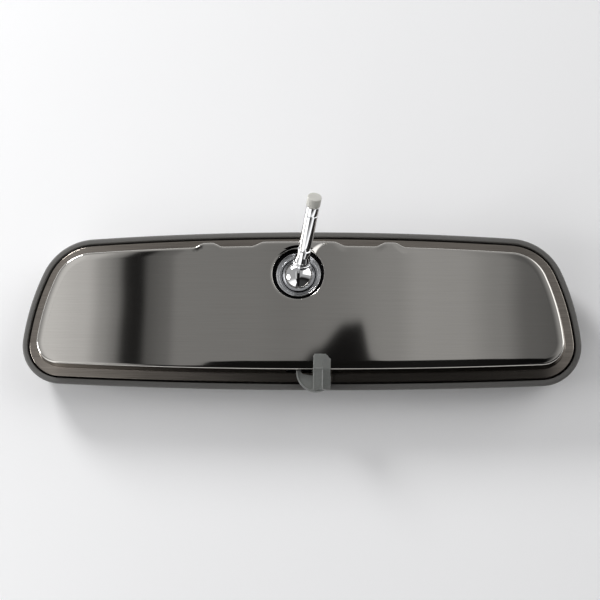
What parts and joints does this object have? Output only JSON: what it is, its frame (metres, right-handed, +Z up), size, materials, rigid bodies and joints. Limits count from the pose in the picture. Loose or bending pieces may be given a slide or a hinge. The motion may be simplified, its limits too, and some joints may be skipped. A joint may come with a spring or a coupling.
{
  "type": "interior rearview mirror",
  "caption": "Wide day and night interior mirror: polished metal back, grey bezel, prismatic glass, ball-jointed stem and tilt lever.",
  "frame": {"origin": "middle of the flat end face of the stem, where the car's mounting arm holds it", "axes": "+Z up; -Y towards the driver, whom the glass faces; +Y towards the windscreen; +X along the head's length, to the driver's right"},
  "size_m": [0.2538, 0.0559, 0.0829],
  "materials": {
    "chrome": "turned steel, polished and chrome plated",
    "ring_chrome": "pressed steel, bright plated",
    "stainless": "pressed stainless sheet, polished, satin on the flange",
    "grey_vinyl": "moulded grey vinyl, fine matt texture",
    "glass": "ground prismatic glass, clear",
    "silver": "silvered layer with a painted back",
    "lever_nylon": "moulded natural nylon, translucent, satin",
    "tip_nylon": "clear nylon sleeve, frosted",
    "acetal": "moulded acetal, satin",
    "zinc": "pressed steel, zinc plated",
    "rivet_zinc": "cold-headed steel, zinc plated",
    "spring_steel": "hardened spring steel, oiled",
    "rubber": "moulded black rubber"
  },
  "bodies": {
    "stem": {"ball_stud": "chrome", "stem_tip_sleeve": "tip_nylon"},
    "cup": {"friction_cup": "acetal"},
    "ring": {"seat_ring": "ring_chrome"},
    "carrier": {"carrier_plate": "zinc", "socket_dome": "zinc", "socket_rivet_1": "rivet_zinc", "socket_rivet_2": "rivet_zinc", "socket_rivet_3": "rivet_zinc", "socket_rivet_4": "rivet_zinc", "leaf_spring": "spring_steel", "spring_rivet": "rivet_zinc"},
    "case": {"back_shell": "stainless", "bezel": "grey_vinyl", "mirror_glass": "glass", "mirror_coating": "silver", "hinge_bracket_left": "zinc", "hinge_bracket_right": "zinc", "hinge_pin_left": "rivet_zinc", "hinge_pin_right": "rivet_zinc", "lever_bracket": "zinc", "rubber_buffer_1": "rubber", "rubber_buffer_2": "rubber", "rubber_buffer_3": "rubber", "rubber_buffer_4": "rubber"},
    "lever": {"day_night_lever": "lever_nylon", "lever_cam": "acetal", "lever_shaft": "rivet_zinc", "shaft_clip": "spring_steel"}
  },
  "joints": [
    {"name": "stem_spin", "type": "hinge", "parent": "stem", "child": "cup", "pos_m": [0.00889, -0.03598, -0.02708], "axis": [-0.1938, 0.7838, 0.59], "continuous": true},
    {"name": "ball_tilt", "type": "hinge", "parent": "cup", "child": "ring", "pos_m": [0.00889, -0.03598, -0.02708], "axis": [0.9501, 0, 0.312], "range_deg": [-1, 77]},
    {"name": "head_roll", "type": "hinge", "parent": "ring", "child": "carrier", "pos_m": [0.00889, -0.03598, -0.02708], "axis": [0, 1, 0], "continuous": true},
    {"name": "day_night_tilt", "type": "hinge", "parent": "carrier", "child": "case", "pos_m": [0.00889, -0.03598, -0.01608], "axis": [-1, 0, 0], "range_deg": [0, 4.5]},
    {"name": "lever_turn", "type": "hinge", "parent": "case", "child": "lever", "pos_m": [0.00039, -0.03598, -0.06748], "axis": [0, -1, 0], "range_deg": [0, 45]}
  ],
  "couplings": [
    {"joint": "lever_turn", "follows": "day_night_tilt", "ratio": 10}
  ]
}
